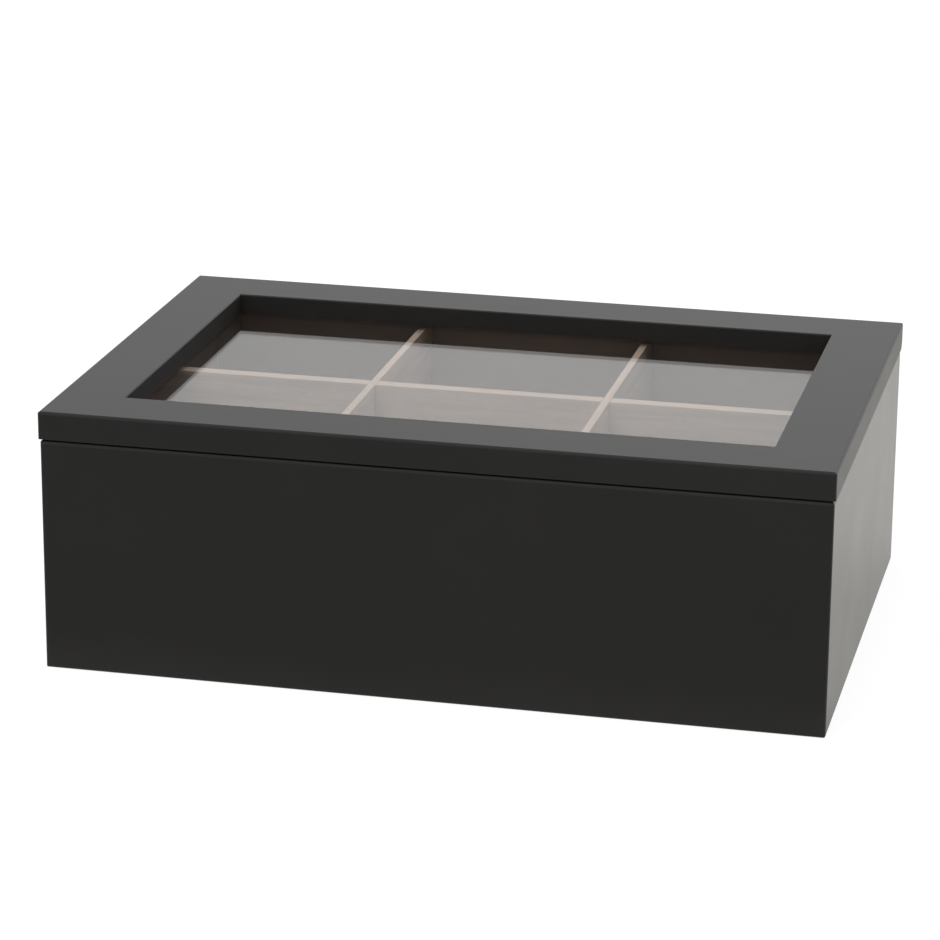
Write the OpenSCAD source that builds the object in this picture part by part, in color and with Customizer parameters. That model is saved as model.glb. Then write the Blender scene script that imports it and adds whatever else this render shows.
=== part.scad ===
// Tea bag organizer box: a mitred box with six compartments under a framed window lid.
// Millimetres. The origin is at the middle of the box's base. X runs to the right, Y to the
// back and Z up. The lid is drawn closed.

/* [Box] */
// Width of the box over its side walls
box_w = 262; // [220:1:320]
// Depth of the box over its front and back walls
box_d = 180; // [150:1:220]
// Height of the walls, from the table to the lid
box_h = 80; // [70:1:110]
// Thickness of the walls
wall_t = 9; // [8:0.5:12]
// Radius on the lower and upright outer edges of the walls
box_round = 1; // [0.4:0.1:1.5]
// Radius on the outer edge of the rim, under the lid
rim_round = 1.8; // [0.5:0.1:2.2]

/* [Bottom] */
// Thickness of the bottom panel
bottom_t = 3; // [2:0.5:5]
// Height of the bottom panel above the table
bottom_rise = 4; // [3:0.5:8]
// Depth of the groove that holds the bottom panel
bottom_groove = 3; // [2:0.5:4]

/* [Dividers] */
// Thickness of the long divider
long_divider_t = 5; // [3:0.5:6]
// Thickness of the cross dividers
cross_divider_t = 2.5; // [2:0.5:4]
// Depth of the housings in the walls that hold the dividers' ends
housing_depth = 2; // [1:0.5:3]
// Height of the half-lap slot in the long divider
lap_h = 36; // [20:1:50]

/* [Lid] */
// Thickness of the lid's rails
lid_t = 9.5; // [8:0.5:12]
// Width of the lid's rails
rail_w = 23; // [18:0.5:35]
// How far the lid stands out past the walls
lid_overhang = 0.5; // [0:0.1:1.5]
// Radius on the upper and upright outer edges of the lid
lid_round = 1; // [0.4:0.1:1.5]
// Radius on the lower outer edge of the lid
lid_lower_round = 0.3; // [0.2:0.1:1]
// Radius on the upper edge of the window
window_round = 0.6; // [0.2:0.1:1]

/* [Window] */
// Thickness of the window pane
pane_t = 2.5; // [1.5:0.1:3]
// Width of the rebate that seats the pane
rebate_w = 5; // [3:0.5:7]

/* [Hinges] */
// Length of a hinge
hinge_len = 25; // [20:1:40]
// Distance from the box's side to the middle of a hinge
hinge_inset = 50; // [35:1:65]
// Distance from the back wall's outer face to the hinge axis
axis_inset = 2.5; // [2.3:0.1:3]
// Outer radius of the knuckles
knuckle_r = 2; // [1.6:0.1:2.1]
// Radius of the pin
pin_r = 0.9; // [0.6:0.1:1]
// Radius of the pin's heads
pin_head_r = 1.4; // [1.2:0.1:1.5]
// Thickness of a pin's head
pin_head_t = 0.6; // [0.4:0.1:1]
// Thickness of a leaf
leaf_t = 0.8; // [0.6:0.1:1]
// Width of a leaf, from the hinge axis to its far edge
leaf_w = 6; // [5.8:0.1:6.3]
// Slope of the bevels behind the axis; the lid stops at twice this angle
bevel_angle = 50; // [46:1:55]

/* [Screws] */
// Radius of a screw's shank
screw_r = 0.8; // [0.6:0.1:1]
// Radius of a screw's head
screw_head_r = 1.4; // [1.2:0.1:1.5]
// Length of the screws in the box
box_screw_len = 8; // [6:1:14]
// Length of the screws in the lid
lid_screw_len = 5.5; // [4:0.5:6]
// Distance between the two screws in a leaf
screw_pitch = 16; // [12:1:18]
// Distance from the hinge axis to the screws
screw_back = 4; // [3.9:0.1:4.2]

/* [Clearances] */
// Around the pane in its rebate
pane_gap = 0.5; // [0.2:0.1:1]
// On each side of a divider in a slot or housing
slot_gap = 0.15; // [0.1:0.05:0.3]
// From the dividers' tops to the lid
divider_drop = 1.7; // [0.5:0.1:3]
// Between the bottom panel's edge and the foot of its groove
groove_gap = 0.4; // [0.2:0.1:1]
// Between a knuckle and the wood or leaf that turns round it
knuckle_gap = 0.3; // [0.2:0.05:0.4]
// Between the ends of neighbouring knuckles
knuckle_end_gap = 0.25; // [0.15:0.05:0.5]
// Between the pin and the knuckles' bores
pin_gap = 0.05; // [0.02:0.01:0.08]
// Depth of a leaf's face below the wood around it
leaf_sink = 0.1; // [0.05:0.05:0.2]
// Between a screw and its hole
screw_gap = 0.05; // [0.02:0.01:0.1]

/* [Hidden] */
$fn = 48;

LACQUER = [0.09, 0.09, 0.09];
TIMBER = [0.76, 0.68, 0.57];
METAL = [0.78, 0.62, 0.35];
CLEAR = [0.8, 0.85, 0.85, 0.35];

cut = 1; // how far a cutting shape runs past the face that it opens

inner_w = box_w - 2 * wall_t;
inner_d = box_d - 2 * wall_t;
floor_z = bottom_rise + bottom_t;

// Three columns of one width, and two rows of one depth
columns = 3;
column_w = (inner_w - (columns - 1) * cross_divider_t) / columns;
cross_x = (column_w + cross_divider_t) / 2;
divider_h = box_h - divider_drop - floor_z;
end_reach = housing_depth - slot_gap; // how far a divider's end enters its housing

// Width of a slot or housing for a divider of thickness t
function slot_w(t) = t + 2 * slot_gap;

lid_w = box_w + 2 * lid_overhang;
lid_d = box_d + 2 * lid_overhang;
pane_w = lid_w - 2 * (rail_w - rebate_w + pane_gap);
pane_d = lid_d - 2 * (rail_w - rebate_w + pane_gap);

hinge_x = box_w / 2 - hinge_inset;
axis_y = box_d / 2 - axis_inset;
knuckle_len = (hinge_len - 2 * knuckle_end_gap) / 3;
recess_r = knuckle_r + knuckle_gap;
recess_len = hinge_len + 2 * (pin_head_t + knuckle_end_gap + knuckle_gap);
mortise_depth = leaf_t + leaf_sink;
screw_head_h = screw_head_r - screw_r; // a 90 degree countersink
screw_slot_w = screw_r / 2;
screw_slot_depth = screw_head_h / 2;

// ---- Shared shapes ----

// A corner's waste: what is left of a square of side r outside the quarter circle in it
module corner_waste(r) {
    difference() {
        translate([-cut, -cut]) square(r + cut);
        translate([r, r]) circle(r);
    }
}

// Plan of a box or lid, with its four corners rounded
module rounded_plan(w, d, r) {
    difference() {
        square([w, d], center = true);
        for (x = [0, 1], y = [0, 1])
            mirror([x, 0]) mirror([0, y]) translate([-w / 2, -d / 2]) corner_waste(r);
    }
}

// Half the plan's outline that one mitred side covers. The side faces -Y, reach deep.
module mitre_plan(w, d, reach) {
    polygon([[-w / 2, -d / 2], [w / 2, -d / 2],
             [w / 2 - reach, -d / 2 + reach], [-w / 2 + reach, -d / 2 + reach]]);
}

// A mitred side of a w by d frame, facing -Y. Its section is the 2D child: x is the distance
// from the outer face and y the height.
module mitred_side(w, d, h, reach, r) {
    intersection() {
        translate([-w / 2, -d / 2, 0]) rotate([90, 0, 90]) linear_extrude(w) children();
        linear_extrude(h) intersection() {
            rounded_plan(w, d, r);
            mitre_plan(w, d, reach);
        }
    }
}

// Turns a side that faces -Y to face where side says, and swaps the frame's spans to suit
module facing(side) {
    rotate([0, 0, side == "front" ? 0 : side == "right" ? 90 : side == "back" ? 180 : -90])
        children();
}
function across(side, w, d) = side == "front" || side == "back" ? w : d;
function along(side, w, d) = side == "front" || side == "back" ? d : w;

module wall_section() {
    difference() {
        square([wall_t, box_h]);
        corner_waste(box_round);
        translate([0, box_h]) mirror([0, 1]) corner_waste(rim_round);
        translate([wall_t - bottom_groove, bottom_rise]) square([bottom_groove + cut, bottom_t]);
    }
}

module rail_section() {
    difference() {
        square([rail_w, lid_t]);
        corner_waste(lid_lower_round);
        translate([0, lid_t]) mirror([0, 1]) corner_waste(lid_round);
        translate([rail_w, lid_t]) mirror([1, 0]) mirror([0, 1]) corner_waste(window_round);
        translate([rail_w - rebate_w, -cut]) square([rebate_w + cut, pane_t + cut]);
    }
}

// A housing in a wall for the end of a divider of thickness t, cut from the rim down to the bottom
module divider_housing(y_inner, t) {
    translate([-slot_w(t) / 2, y_inner - housing_depth, floor_z])
        cube([slot_w(t), 2 * housing_depth, box_h - floor_z + cut]);
}

// Wedge behind the hinge axis that lets the lid lean back. up is 1 in the lid, -1 in the box.
// The mitred side pieces reach the back corners, so it is cut from them too.
module back_bevel(up) {
    reach = axis_inset + lid_overhang + cut;
    translate([-lid_w, axis_y, box_h]) rotate([90, 0, 90]) linear_extrude(2 * lid_w)
        polygon([[0, 0], [reach, 0], [reach, up * reach * tan(bevel_angle)]]);
}

// What both hinges take out of the wood. up is 1 in the lid, -1 in the box.
module hinge_cuts(up, screw_len) {
    for (x = [-hinge_x, hinge_x]) translate([x, axis_y, box_h]) {
        rotate([0, 90, 0]) cylinder(h = recess_len, r = recess_r, center = true);
        mirror([0, 0, up < 0 ? 1 : 0]) {
            translate([-hinge_len / 2 - knuckle_end_gap, -leaf_w - knuckle_end_gap, -cut])
                cube([hinge_len + 2 * knuckle_end_gap, leaf_w + knuckle_end_gap,
                      mortise_depth + cut]);
            for (s = [-1, 1]) translate([s * screw_pitch / 2, -screw_back, 0])
                cylinder(h = leaf_sink + screw_len + screw_gap, r = screw_r + screw_gap);
        }
    }
}

// ---- Box ----

module wall(side) {
    w = across(side, box_w, box_d);
    d = along(side, box_w, box_d);
    facing(side) mitred_side(w, d, box_h, wall_t, box_round) wall_section();
}

module front_panel() {
    color(LACQUER) difference() {
        wall("front");
        for (x = [-cross_x, cross_x])
            translate([x, 0, 0]) divider_housing(-inner_d / 2, cross_divider_t);
    }
}

module back_panel() {
    color(LACQUER) difference() {
        wall("back");
        for (x = [-cross_x, cross_x])
            translate([x, 0, 0]) divider_housing(inner_d / 2, cross_divider_t);
        back_bevel(-1);
        hinge_cuts(-1, box_screw_len);
    }
}

module side_panel(side) {
    color(LACQUER) difference() {
        wall(side);
        facing(side) divider_housing(-inner_w / 2, long_divider_t);
        back_bevel(-1);
    }
}

module left_panel() { side_panel("left"); }
module right_panel() { side_panel("right"); }

module bottom_panel() {
    reach = 2 * (bottom_groove - groove_gap);
    color(LACQUER) translate([0, 0, bottom_rise]) linear_extrude(bottom_t)
        square([inner_w + reach, inner_d + reach], center = true);
}

// ---- Dividers ----

module long_divider() {
    slot = slot_w(cross_divider_t);
    color(TIMBER) difference() {
        translate([-inner_w / 2 - end_reach, -long_divider_t / 2, floor_z])
            cube([inner_w + 2 * end_reach, long_divider_t, divider_h]);
        for (x = [-cross_x, cross_x])
            translate([x - slot / 2, -long_divider_t, floor_z + divider_h - lap_h])
                cube([slot, 2 * long_divider_t, lap_h + cut]);
    }
}

module cross_divider(x) {
    slot = slot_w(long_divider_t);
    color(TIMBER) difference() {
        translate([x - cross_divider_t / 2, -inner_d / 2 - end_reach, floor_z])
            cube([cross_divider_t, inner_d + 2 * end_reach, divider_h]);
        translate([x - cross_divider_t, -slot / 2, floor_z - cut])
            cube([2 * cross_divider_t, slot, divider_h - lap_h + cut]);
    }
}

module left_cross_divider() { cross_divider(-cross_x); }
module right_cross_divider() { cross_divider(cross_x); }

// ---- Lid ----

module lid_rail(side) {
    w = across(side, lid_w, lid_d);
    d = along(side, lid_w, lid_d);
    color(LACQUER) difference() {
        translate([0, 0, box_h])
            facing(side) mitred_side(w, d, lid_t, rail_w, lid_round) rail_section();
        back_bevel(1);
        if (side == "back") hinge_cuts(1, lid_screw_len);
    }
}

module lid_front_rail() { lid_rail("front"); }
module lid_back_rail() { lid_rail("back"); }
module lid_left_rail() { lid_rail("left"); }
module lid_right_rail() { lid_rail("right"); }

module window_pane() {
    color(CLEAR) translate([0, 0, box_h]) linear_extrude(pane_t)
        square([pane_w, pane_d], center = true);
}

// ---- Hinges ----

// Place of hinge i, 0 on the left and 1 on the right, at the middle of its axis
module at_hinge(i) {
    translate([(i == 0 ? -1 : 1) * hinge_x, axis_y, box_h]) children();
}

// A leaf's screw hole with its countersink, opening upwards at z = 0
module countersunk_hole() {
    hole_r = screw_r + screw_gap;
    sink_r = screw_head_r + screw_gap;
    rotate_extrude() polygon([[0, -leaf_t - cut], [hole_r, -leaf_t - cut], [hole_r, -screw_head_h],
                              [sink_r, 0], [sink_r, cut], [0, cut]]);
}

// A leaf below the axis for the box, mirrored above it for the lid. knuckles lists which of
// the three stations it holds, from -1 on the left to 1 on the right.
module hinge_leaf(i, up, knuckles) {
    station = knuckle_len + knuckle_end_gap;
    root_y = -(knuckle_r + pin_r) / 2; // the leaf ends inside the knuckle's wall
    color(METAL) at_hinge(i) mirror([0, 0, up < 0 ? 0 : 1]) difference() {
        union() {
            translate([-hinge_len / 2, -leaf_w, -mortise_depth])
                cube([hinge_len, leaf_w - recess_r, leaf_t]);
            for (k = knuckles) {
                translate([k * station - knuckle_len / 2, -recess_r - leaf_t, -mortise_depth])
                    cube([knuckle_len, recess_r + leaf_t + root_y, leaf_t]);
                translate([k * station, 0, 0]) rotate([0, 90, 0]) difference() {
                    cylinder(h = knuckle_len, r = knuckle_r, center = true);
                    cylinder(h = knuckle_len + cut, r = pin_r + pin_gap, center = true);
                }
            }
        }
        for (s = [-1, 1])
            translate([s * screw_pitch / 2, -screw_back, -leaf_sink]) countersunk_hole();
    }
}

module left_hinge_box_leaf() { hinge_leaf(0, -1, [-1, 1]); }
module right_hinge_box_leaf() { hinge_leaf(1, -1, [-1, 1]); }
module left_hinge_lid_leaf() { hinge_leaf(0, 1, [0]); }
module right_hinge_lid_leaf() { hinge_leaf(1, 1, [0]); }

module hinge_pin(i) {
    color(METAL) at_hinge(i) rotate([0, 90, 0]) {
        cylinder(h = hinge_len + 2 * pin_gap, r = pin_r, center = true);
        for (s = [0, 1]) mirror([0, 0, s]) translate([0, 0, hinge_len / 2 + pin_gap])
            cylinder(h = pin_head_t, r1 = pin_head_r, r2 = pin_r);
    }
}

module left_hinge_pin() { hinge_pin(0); }
module right_hinge_pin() { hinge_pin(1); }

// A countersunk screw with a cross recess, pointing down from its head's face
module screw(len) {
    point_h = 2 * screw_r;
    difference() {
        union() {
            translate([0, 0, -screw_head_h])
                cylinder(h = screw_head_h, r1 = screw_r, r2 = screw_head_r);
            translate([0, 0, point_h - len]) cylinder(h = len - point_h, r = screw_r);
            translate([0, 0, -len]) cylinder(h = point_h, r1 = 0.1, r2 = screw_r);
        }
        for (turn = [0, 90]) rotate([0, 0, turn]) translate([0, 0, -screw_slot_depth / 2])
            cube([2 * screw_r, screw_slot_w, screw_slot_depth + 0.02], center = true);
    }
}

module hinge_screws(up, len) {
    color(METAL) for (i = [0, 1]) at_hinge(i) mirror([0, 0, up < 0 ? 0 : 1])
        for (s = [-1, 1]) translate([s * screw_pitch / 2, -screw_back, -leaf_sink]) screw(len);
}

module box_hinge_screws() { hinge_screws(-1, box_screw_len); }
module lid_hinge_screws() { hinge_screws(1, lid_screw_len); }

front_panel();
back_panel();
left_panel();
right_panel();
bottom_panel();
long_divider();
left_cross_divider();
right_cross_divider();
lid_front_rail();
lid_back_rail();
lid_left_rail();
lid_right_rail();
window_pane();
left_hinge_box_leaf();
right_hinge_box_leaf();
left_hinge_lid_leaf();
right_hinge_lid_leaf();
left_hinge_pin();
right_hinge_pin();
box_hinge_screws();
lid_hinge_screws();
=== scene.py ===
"""Looks of the tea bag organizer box: materials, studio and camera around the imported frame."""
import math

import bpy
from mathutils import Matrix, Vector

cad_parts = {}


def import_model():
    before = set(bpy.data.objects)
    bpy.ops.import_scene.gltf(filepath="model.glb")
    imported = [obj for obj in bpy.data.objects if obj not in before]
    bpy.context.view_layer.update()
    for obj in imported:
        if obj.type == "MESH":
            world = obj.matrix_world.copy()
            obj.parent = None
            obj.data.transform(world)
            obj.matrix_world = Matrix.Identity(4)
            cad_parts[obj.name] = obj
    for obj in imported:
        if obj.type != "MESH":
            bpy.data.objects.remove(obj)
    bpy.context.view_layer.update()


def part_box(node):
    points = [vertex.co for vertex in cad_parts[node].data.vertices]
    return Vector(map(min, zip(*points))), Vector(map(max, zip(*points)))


MM = 0.001

# Camera, fitted to the photograph, in metres and degrees. The target is in the middle of the view.
CAMERA_TARGET = Vector((-6.7, 0.6, 51.0)) * MM
CAMERA_DISTANCE = 1262.3 * MM
CAMERA_AZIMUTH = 12.81  # towards the object's right side
CAMERA_ELEVATION = 17.87
CAMERA_ROLL = 0.48
CAMERA_LENS = 139.6  # millimetres, as SENSOR_WIDTH is
SENSOR_WIDTH = 36.0
CAMERA_CLIP = (0.05, 50.0)

# Studio: a sweep that the camera sees as white. The object's gloss sees it as grey, darker on the
# left, and so is the floor, which has painted shade in front of the object that stands for its
# shadow.
FLOOR_SIZE = 6.0
FLOOR_Z = -0.05 * MM  # just clear of the faces that rest on it
FLOOR_COLOUR = (0.82, 0.82, 0.82)
FLOOR_GLOW = (0.88, 1.0)  # what it gives out to the camera near the object and far from it
FLOOR_GLOW_REACH = (0.3, 1.0)  # where it has those values, in metres from the origin
FLOOR_SHADOWED = (0.26, 0.26, 0.26)  # what it returns of the lamps, which keeps the shadow
SWEEP_GLOSS = (0.57, 0.665)  # backdrop as the object's gloss shows it, on the left and the right
SWEEP_EDGES = (-0.40, -0.05)  # where it has those values, as the X of a direction
FLOOR_GLOSS = (1.0, 0.985, 0.94)  # floor as the object's gloss shows it: what it gives out
FLOOR_GLOSS_GLOW = 0.62
FLOOR_GLOSS_LIT = (0.30, 0.295, 0.283)  # and what it returns of the lamps and the world
# Painted shade: the floor's look to gloss is dimmed most in front of the object and a little
# beneath it, as its shadow.
FLOOR_GLOSS_PAINTED_SHADE = ((-0.13, 0.43), (-0.05, 0.86), (0.04, 0.88), (0.12, 1.0))  # share of both at each Y
WORLD_STRENGTH = 0.33
LAMP_AIM = (0, 0, 0.05)
LAMPS = (("key_lamp", (-0.45, -0.6, 1.6), 1.2, 14),  # name, place, side of its square, watts
         ("top_lamp", (0.3, 0.3, 1.6), 1.0, 7))

# Which CAD nodes each finish goes on
BOX_PANELS = ["front_panel", "back_panel", "left_panel", "right_panel", "bottom_panel"]
LID_RAILS = ["lid_front_rail", "lid_back_rail", "lid_left_rail", "lid_right_rail"]
DIVIDERS = {"long_divider": "X", "left_cross_divider": "Y", "right_cross_divider": "Y"}
HINGE_METAL = ["left_hinge_box_leaf", "right_hinge_box_leaf", "left_hinge_lid_leaf",
               "right_hinge_lid_leaf", "left_hinge_pin", "right_hinge_pin",
               "box_hinge_screws", "lid_hinge_screws"]

# Finishes. Colours are linear and noise scales are per metre. A SPAN holds the two values of an
# input, mostly a noise, between which one look turns into the other.
LACQUER_COLOURS = ((0.0105, 0.0102, 0.0098), (0.0135, 0.013, 0.0125))
LACQUER_ROUGHNESS = (0.215, 0.245)
LACQUER_IOR = 1.5
CLOUD_SCALE = 28
CLOUD_COLOUR_SPAN = (0.35, 0.65)
CLOUD_GLOSS_SPAN = (0.3, 0.7)
WORN_COLOUR = (0.04, 0.037, 0.034)
WORN_RADIUS = 0.9 * MM
WORN_SPAN = (0.93, 0.75)  # how flat the surface is where wear starts, and where it is full
WORN_MOST = 0.5
UPRIGHT_SPAN = (0.3, 0.7)  # upward share of a face's normal: upright below it, flat above it
PEEL = (900, 0.08, 0.2 * MM)  # noise scale, bump strength and bump distance
RIPPLE = (120, 0.03, 0.6 * MM)
BOX_INSIDE = (0.29, 0.228, 0.19)
BOX_INSIDE_DULLER = 0.25
LID_INSIDE = (0.0155, 0.014, 0.0125)
LID_INSIDE_DULLER = 0.30
LID_SIDE_DULLER = 0.15
INSIDE_ARRIS = 0.05 * MM  # how far the inside's look reaches past the inner faces

TIMBER_COLOURS = ((0.47, 0.362, 0.295), (0.62, 0.484, 0.405))
TIMBER_ROUGHNESS = (0.5, 0.62)
TIMBER_ROUGHNESS_SPAN = (0.3, 0.7)
GRAIN_ALONG = 6.0  # squeeze of the noise along the grain, and across it
GRAIN_ACROSS = 90.0
GRAIN_SCALE = 3.2
GRAIN_SPAN = (0.35, 0.65)
FIBRE_FINER = 6
FIBRE_SCALE = 3.0
FIBRE_BUMP = (0.25, 0.3 * MM)
PORE_COLOUR = (0.36, 0.264, 0.205)
PORE_SPAN = (0.6, 0.75)
PORE_MOST = 0.35

BRASS_COLOURS = ((0.70, 0.55, 0.32), (0.58, 0.44, 0.25))
BRASS_ROUGHNESS = (0.30, 0.42)
BRASS_ROUGHNESS_SPAN = (0.3, 0.7)
DULL_SCALE = 260
DULL_SPAN = (0.4, 0.7)
DRAWN_SQUEEZE = (40, 1200, 1200)  # fine lines along X
DRAWN_SCALE = 2.0
DRAWN_BUMP = (0.1, 0.2 * MM)

PANE_IOR = 1.49
PANE_ROUGHNESS = (0.0, 0.03)
PANE_SHADOW = (0.93, 0.94, 0.93)  # what it lets through of the light on the things below it
SMEAR_SCALE = 35
SMEAR_SPAN = (0.4, 0.7)

EDGE_SAMPLES = 6

# ---- Node helpers ----

class Nodes:
    """A material's node tree, with short calls for the nodes that this scene uses."""

    def __init__(self, name):
        self.material = bpy.data.materials.new(name)
        self.material.use_nodes = True
        self.tree = self.material.node_tree
        self.shader = self.tree.nodes["Principled BSDF"]
        self.out = self.tree.nodes["Material Output"]
        self.coords = self.add("ShaderNodeTexCoord")
        self.place = self.coords.outputs["Object"]

    def add(self, kind, **settings):
        node = self.tree.nodes.new(kind)
        for key, value in settings.items():
            setattr(node, key, value)
        return node

    def link(self, source, target):
        self.tree.links.new(source, target)

    def stretched(self, scale):
        """The place on the object with each axis scaled, which squeezes a noise along it."""
        mapping = self.add("ShaderNodeMapping")
        mapping.inputs["Scale"].default_value = scale
        self.link(self.place, mapping.inputs["Vector"])
        return mapping.outputs["Vector"]

    def noise(self, vector, scale, detail=3.0, roughness=0.55, distortion=0.0):
        node = self.add("ShaderNodeTexNoise")
        node.inputs["Scale"].default_value = scale
        node.inputs["Detail"].default_value = detail
        node.inputs["Roughness"].default_value = roughness
        node.inputs["Distortion"].default_value = distortion
        self.link(vector, node.inputs["Vector"])
        return node.outputs["Fac"]

    def map_range(self, value, span, result):
        """Turn one value of the result into the other while the input crosses the span."""
        node = self.add("ShaderNodeMapRange")
        for key, number in zip(("From Min", "From Max", "To Min", "To Max"), (*span, *result)):
            node.inputs[key].default_value = number
        self.link(value, node.inputs["Value"])
        return node.outputs["Result"]

    def mix(self, factor, first, second):
        node = self.add("ShaderNodeMix", data_type="RGBA")
        self.link(factor, node.inputs["Factor"])
        for socket, colour in ((node.inputs[6], first), (node.inputs[7], second)):
            if isinstance(colour, tuple):
                socket.default_value = (*colour, 1.0)
            else:
                self.link(colour, socket)
        return node.outputs[2]

    def bump(self, height, strength, distance, normal=None):
        """The surface's normal raised by a height, over another bump's normal if one is given."""
        node = self.add("ShaderNodeBump")
        node.inputs["Strength"].default_value = strength
        node.inputs["Distance"].default_value = distance
        self.link(height, node.inputs["Height"])
        if normal is not None:
            self.link(normal, node.inputs["Normal"])
        return node.outputs["Normal"]

    def edges(self, radius):
        """Near 1 on flat faces, and less within the radius of an edge."""
        bevel = self.add("ShaderNodeBevel", samples=EDGE_SAMPLES)
        bevel.inputs["Radius"].default_value = radius
        facing = self.add("ShaderNodeVectorMath", operation="DOT_PRODUCT")
        self.link(bevel.outputs["Normal"], facing.inputs[0])
        self.link(self.add("ShaderNodeNewGeometry").outputs["Normal"], facing.inputs[1])
        return facing.outputs["Value"]

    def set(self, **inputs):
        """Put constants on the shader's own sockets. An underscore stands for a space."""
        for key, value in inputs.items():
            self.shader.inputs[key.replace("_", " ")].default_value = value


# ---- Materials ----

def inside_of(m, half_x, half_y):
    """1 where a point lies within a rectangle about the Z axis, and 0 outside it."""
    place = m.add("ShaderNodeSeparateXYZ")
    m.link(m.place, place.inputs[0])
    within = []
    for axis, half in (("X", half_x), ("Y", half_y)):
        size = m.add("ShaderNodeMath", operation="ABSOLUTE")
        m.link(place.outputs[axis], size.inputs[0])
        less = m.add("ShaderNodeMath", operation="LESS_THAN")
        m.link(size.outputs[0], less.inputs[0])
        less.inputs[1].default_value = half
        within.append(less.outputs[0])
    both = m.add("ShaderNodeMath", operation="MULTIPLY")
    m.link(within[0], both.inputs[0])
    m.link(within[1], both.inputs[1])
    return both.outputs[0]


def lacquer(name, inner_half, inner_colour, inner_duller, side_duller=0.0):
    """Satin black paint: faint orange peel, soft cloudy gloss, and paler worn edges.
    Faces within inner_half of the middle have a colour of their own and are duller, as sprayed
    insides are, and upright faces are duller by side_duller, where sanded edges drink the paint."""
    m = Nodes(name)
    inside = inside_of(m, *inner_half)
    cloud = m.noise(m.place, CLOUD_SCALE, detail=4)
    colour = m.mix(m.map_range(cloud, CLOUD_COLOUR_SPAN, (0, 1)), *LACQUER_COLOURS)
    worn = m.map_range(m.edges(WORN_RADIUS), WORN_SPAN, (0, WORN_MOST))
    colour = m.mix(worn, colour, WORN_COLOUR)
    colour = m.mix(inside, colour, inner_colour)
    m.link(colour, m.shader.inputs["Base Color"])
    roughness = m.map_range(cloud, CLOUD_GLOSS_SPAN, LACQUER_ROUGHNESS)
    facing = m.add("ShaderNodeSeparateXYZ")
    m.link(m.coords.outputs["Normal"], facing.inputs[0])
    flat = m.add("ShaderNodeMath", operation="ABSOLUTE")
    m.link(facing.outputs["Z"], flat.inputs[0])
    upright = m.map_range(flat.outputs[0], UPRIGHT_SPAN, (1, 0))
    for share, extra in ((inside, inner_duller), (upright, side_duller)):
        duller = m.add("ShaderNodeMath", operation="MULTIPLY_ADD")
        m.link(share, duller.inputs[0])
        duller.inputs[1].default_value = extra
        m.link(roughness, duller.inputs[2])
        roughness = duller.outputs[0]
    m.link(roughness, m.shader.inputs["Roughness"])
    normal = None
    for scale, strength, distance in (PEEL, RIPPLE):
        normal = m.bump(m.noise(m.place, scale, detail=2), strength, distance, normal)
    m.link(normal, m.shader.inputs["Normal"])
    m.set(IOR=LACQUER_IOR)
    return m.material


def timber(name, along):
    """Pale sealed wood with its grain along one axis."""
    m = Nodes(name)
    squeeze = [GRAIN_ALONG if axis == along else GRAIN_ACROSS for axis in "XYZ"]
    grain = m.noise(m.stretched(squeeze), GRAIN_SCALE, detail=6, roughness=0.6, distortion=0.4)
    fibre = m.noise(m.stretched([size * FIBRE_FINER for size in squeeze]), FIBRE_SCALE, detail=4)
    colour = m.mix(m.map_range(grain, GRAIN_SPAN, (0, 1)), *TIMBER_COLOURS)
    colour = m.mix(m.map_range(fibre, PORE_SPAN, (0, PORE_MOST)), colour, PORE_COLOUR)
    m.link(colour, m.shader.inputs["Base Color"])
    roughness = m.map_range(fibre, TIMBER_ROUGHNESS_SPAN, TIMBER_ROUGHNESS)
    m.link(roughness, m.shader.inputs["Roughness"])
    m.link(m.bump(fibre, *FIBRE_BUMP), m.shader.inputs["Normal"])
    return m.material


def brass():
    """Brass plating with fine drawn lines and dull spots."""
    m = Nodes("hinge_brass")
    lines = m.noise(m.stretched(DRAWN_SQUEEZE), DRAWN_SCALE)
    dull = m.noise(m.place, DULL_SCALE)
    colour = m.mix(m.map_range(dull, DULL_SPAN, (0, 1)), *BRASS_COLOURS)
    m.link(colour, m.shader.inputs["Base Color"])
    roughness = m.map_range(dull, BRASS_ROUGHNESS_SPAN, BRASS_ROUGHNESS)
    m.link(roughness, m.shader.inputs["Roughness"])
    m.link(m.bump(lines, *DRAWN_BUMP), m.shader.inputs["Normal"])
    m.set(Metallic=1.0)
    return m.material


def pane():
    """Clear sheet: it mirrors by Fresnel, and lets light straight through to what is inside."""
    m = Nodes("clear_pane")
    smear = m.noise(m.place, SMEAR_SCALE)
    m.link(m.map_range(smear, SMEAR_SPAN, PANE_ROUGHNESS), m.shader.inputs["Roughness"])
    m.set(Base_Color=(1.0, 1.0, 1.0, 1.0), IOR=PANE_IOR, Transmission_Weight=1.0)
    shadow = m.add("ShaderNodeBsdfTransparent")
    shadow.inputs["Color"].default_value = (*PANE_SHADOW, 1.0)
    path = m.add("ShaderNodeLightPath")
    either = m.add("ShaderNodeMath", operation="MAXIMUM")
    m.link(path.outputs["Is Shadow Ray"], either.inputs[0])
    m.link(path.outputs["Is Diffuse Ray"], either.inputs[1])
    blend = m.add("ShaderNodeMixShader")
    m.link(either.outputs[0], blend.inputs["Fac"])
    m.link(m.shader.outputs["BSDF"], blend.inputs[1])
    m.link(shadow.outputs["BSDF"], blend.inputs[2])
    m.link(blend.outputs["Shader"], m.out.inputs["Surface"])
    return m.material


def inner_half(left, front):
    """Half the width and depth inside a frame, from its left and front members, with a little
    more for the rounded arris."""
    return -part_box(left)[1].x + INSIDE_ARRIS, -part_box(front)[1].y + INSIDE_ARRIS


def paint(names, material):
    for name in names:
        slots = bpy.data.objects[name].data.materials
        slots.clear()
        slots.append(material)


# ---- Studio ----

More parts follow.
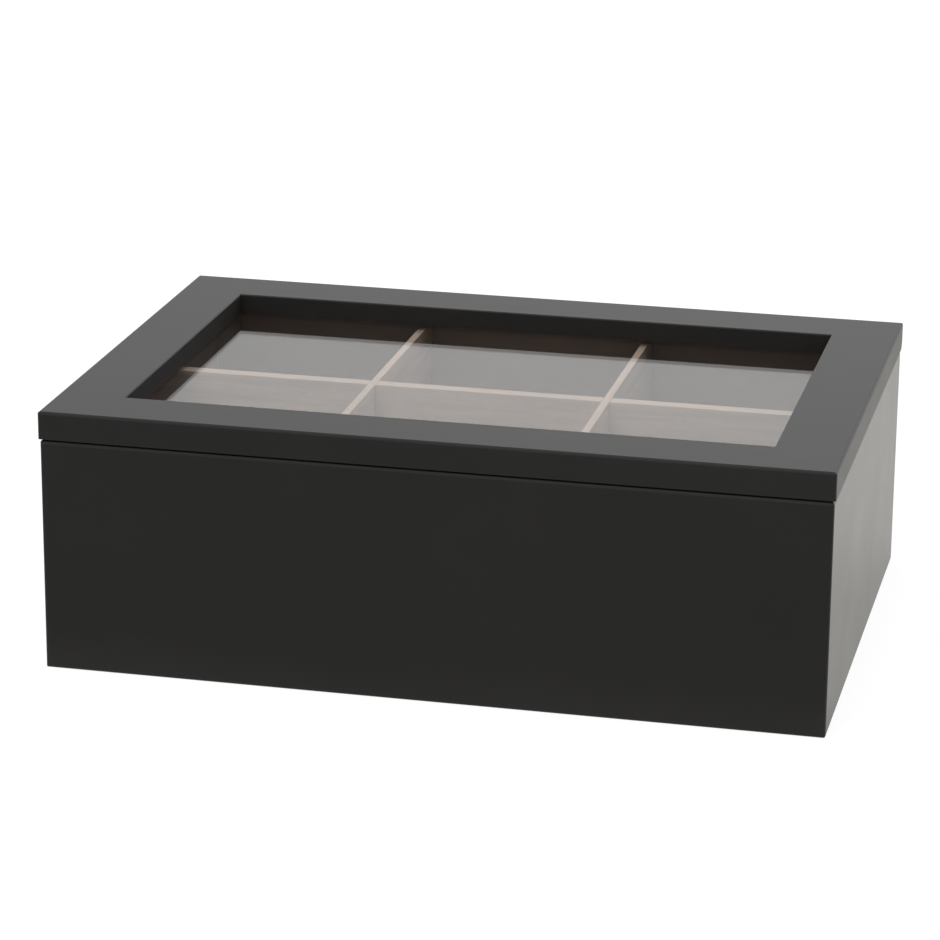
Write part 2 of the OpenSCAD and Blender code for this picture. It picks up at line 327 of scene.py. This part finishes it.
class Studio:
    """A surface or world whose look depends on what kind of ray meets it."""

    def __init__(self, tree, output_kind):
        self.tree = tree
        tree.nodes.clear()
        self.output = tree.nodes.new(output_kind)
        self.path = tree.nodes.new("ShaderNodeLightPath").outputs

    def shade(self, kind, colour=(1.0, 1.0, 1.0), strength=None):
        """A shader of one colour, with the node's own strength unless one is given."""
        node = self.tree.nodes.new(kind)
        node.inputs["Color"].default_value = (*colour, 1.0)
        if strength is not None:
            node.inputs["Strength"].default_value = strength
        return node

    def ramp(self, coords, axis, places, values, interpolation="SMOOTHSTEP"):
        """A value that turns into another between two places along an axis, or outwards."""
        where = self.tree.nodes.new("ShaderNodeTexCoord").outputs[coords]
        if axis == "length":
            place = self.tree.nodes.new("ShaderNodeVectorMath")
            place.operation = "LENGTH"
            found = place.outputs["Value"]
        else:
            place = self.tree.nodes.new("ShaderNodeSeparateXYZ")
            found = place.outputs[axis]
        self.tree.links.new(where, place.inputs[0])
        ramp = self.tree.nodes.new("ShaderNodeMapRange")
        ramp.interpolation_type = interpolation
        for key, value in zip(("From Min", "From Max", "To Min", "To Max"), (*places, *values)):
            ramp.inputs[key].default_value = value
        self.tree.links.new(found, ramp.inputs["Value"])
        return ramp.outputs["Result"]

    def either(self, first, second):
        node = self.tree.nodes.new("ShaderNodeMath")
        node.operation = "MAXIMUM"
        self.tree.links.new(first, node.inputs[0])
        self.tree.links.new(second, node.inputs[1])
        return node.outputs[0]

    def choose(self, factor, plain, special):
        node = self.tree.nodes.new("ShaderNodeMixShader")
        self.tree.links.new(factor, node.inputs["Fac"])
        self.tree.links.new(plain, node.inputs[1])
        self.tree.links.new(special, node.inputs[2])
        return node.outputs[0]

    def add(self, first, second):
        node = self.tree.nodes.new("ShaderNodeAddShader")
        self.tree.links.new(first.outputs[0], node.inputs[0])
        self.tree.links.new(second.outputs[0], node.inputs[1])
        return node.outputs[0]

    def finish(self, plain, gloss, camera):
        """Show one look to glossy rays, one to the camera, and the plain one to what is lit."""
        lit = self.choose(self.path["Is Glossy Ray"], plain, gloss)
        seen = self.either(self.path["Is Camera Ray"], self.path["Is Transmission Ray"])
        self.tree.links.new(self.choose(seen, lit, camera), self.output.inputs["Surface"])


def make_world():
    world = bpy.data.worlds.new("studio")
    bpy.context.scene.world = world
    world.use_nodes = True
    studio = Studio(world.node_tree, "ShaderNodeOutputWorld")
    plain, gloss, camera = (studio.shade("ShaderNodeBackground", strength=strength)
                            for strength in (WORLD_STRENGTH, 1.0, 1.0))
    across = studio.ramp("Generated", "X", SWEEP_EDGES, SWEEP_GLOSS)
    studio.tree.links.new(across, gloss.inputs["Strength"])
    studio.finish(plain.outputs[0], gloss.outputs[0], camera.outputs[0])


def floor_gloss_painted_shade(studio):
    """The share of its brightness that the floor shows to gloss at each Y: painted shade, darkest
    in front of the object.
    """
    first, last = FLOOR_GLOSS_PAINTED_SHADE[0][0], FLOOR_GLOSS_PAINTED_SHADE[-1][0]
    painted_shade_ramp = studio.tree.nodes.new("ShaderNodeValToRGB")
    stops = painted_shade_ramp.color_ramp.elements
    for place, _ in FLOOR_GLOSS_PAINTED_SHADE[1:-1]:
        stops.new((place - first) / (last - first))
    for stop, (_, share) in zip(stops, FLOOR_GLOSS_PAINTED_SHADE):
        stop.color = (share, share, share, 1.0)
    along = studio.ramp("Object", "Y", (first, last), (0.0, 1.0), "LINEAR")
    studio.tree.links.new(along, painted_shade_ramp.inputs["Fac"])
    return painted_shade_ramp.outputs["Color"]


def make_floor():
    half = FLOOR_SIZE / 2
    corners = ((-half, -half), (half, -half), (half, half), (-half, half))
    mesh = bpy.data.meshes.new("floor")
    mesh.from_pydata([(x, y, FLOOR_Z) for x, y in corners], [], [(0, 1, 2, 3)])
    floor = bpy.data.objects.new("floor", mesh)
    bpy.context.collection.objects.link(floor)
    material = bpy.data.materials.new("floor")
    material.use_nodes = True
    studio = Studio(material.node_tree, "ShaderNodeOutputMaterial")
    plain = studio.shade("ShaderNodeBsdfDiffuse", FLOOR_COLOUR).outputs[0]
    bright = studio.add(studio.shade("ShaderNodeEmission", FLOOR_GLOSS, FLOOR_GLOSS_GLOW),
                        studio.shade("ShaderNodeBsdfDiffuse", FLOOR_GLOSS_LIT))
    nothing = studio.shade("ShaderNodeEmission", strength=0.0).outputs[0]
    # The floor's look to gloss, dimmed by painted shade in front of the object.
    gloss = studio.choose(floor_gloss_painted_shade(studio), nothing, bright)
    glow = studio.shade("ShaderNodeEmission")
    outward = studio.ramp("Object", "length", FLOOR_GLOW_REACH, FLOOR_GLOW)
    studio.tree.links.new(outward, glow.inputs["Strength"])
    camera = studio.add(glow, studio.shade("ShaderNodeBsdfDiffuse", FLOOR_SHADOWED))
    studio.finish(plain, gloss, camera)
    mesh.materials.append(material)


def soft_lamp(name, place, side, power):
    """A square lamp aimed at the object."""
    light = bpy.data.lights.new(name, "AREA")
    light.shape = "SQUARE"
    light.size = side
    light.energy = power
    lamp = bpy.data.objects.new(name, light)
    lamp.location = place
    lamp.rotation_euler = (Vector(LAMP_AIM) - Vector(place)).to_track_quat("-Z", "Y").to_euler()
    lamp.visible_glossy = False  # gloss and pane show the plain sweep, and no lamp's outline
    lamp.visible_transmission = False
    bpy.context.collection.objects.link(lamp)


def make_camera():
    data = bpy.data.cameras.new("camera")
    data.sensor_fit = "HORIZONTAL"
    data.sensor_width = SENSOR_WIDTH
    data.lens = CAMERA_LENS
    data.clip_start, data.clip_end = CAMERA_CLIP
    camera = bpy.data.objects.new("camera", data)
    azimuth = math.radians(CAMERA_AZIMUTH)
    elevation = math.radians(CAMERA_ELEVATION)
    back = Vector((math.sin(azimuth) * math.cos(elevation),
                   -math.cos(azimuth) * math.cos(elevation), math.sin(elevation)))
    turn = back.to_track_quat("Z", "Y").to_matrix()
    turn = turn @ Matrix.Rotation(math.radians(CAMERA_ROLL), 3, "Z")
    camera.matrix_world = (Matrix.Translation(CAMERA_TARGET + back * CAMERA_DISTANCE)
                           @ turn.to_4x4())
    bpy.context.collection.objects.link(camera)
    bpy.context.scene.camera = camera


def main():
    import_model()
    bpy.context.scene.view_settings.view_transform = "Standard"
    box_half = inner_half("left_panel", "front_panel")
    lid_half = inner_half("lid_left_rail", "lid_front_rail")
    paint(BOX_PANELS, lacquer("black_lacquer", box_half, BOX_INSIDE, BOX_INSIDE_DULLER))
    paint(LID_RAILS, lacquer("black_lacquer_lid", lid_half, LID_INSIDE, LID_INSIDE_DULLER,
                             LID_SIDE_DULLER))
    for name, along in DIVIDERS.items():
        paint([name], timber("pale_wood_" + along.lower(), along))
    paint(HINGE_METAL, brass())
    paint(["window_pane"], pane())
    make_world()
    make_floor()
    for lamp in LAMPS:
        soft_lamp(*lamp)
    make_camera()


main()
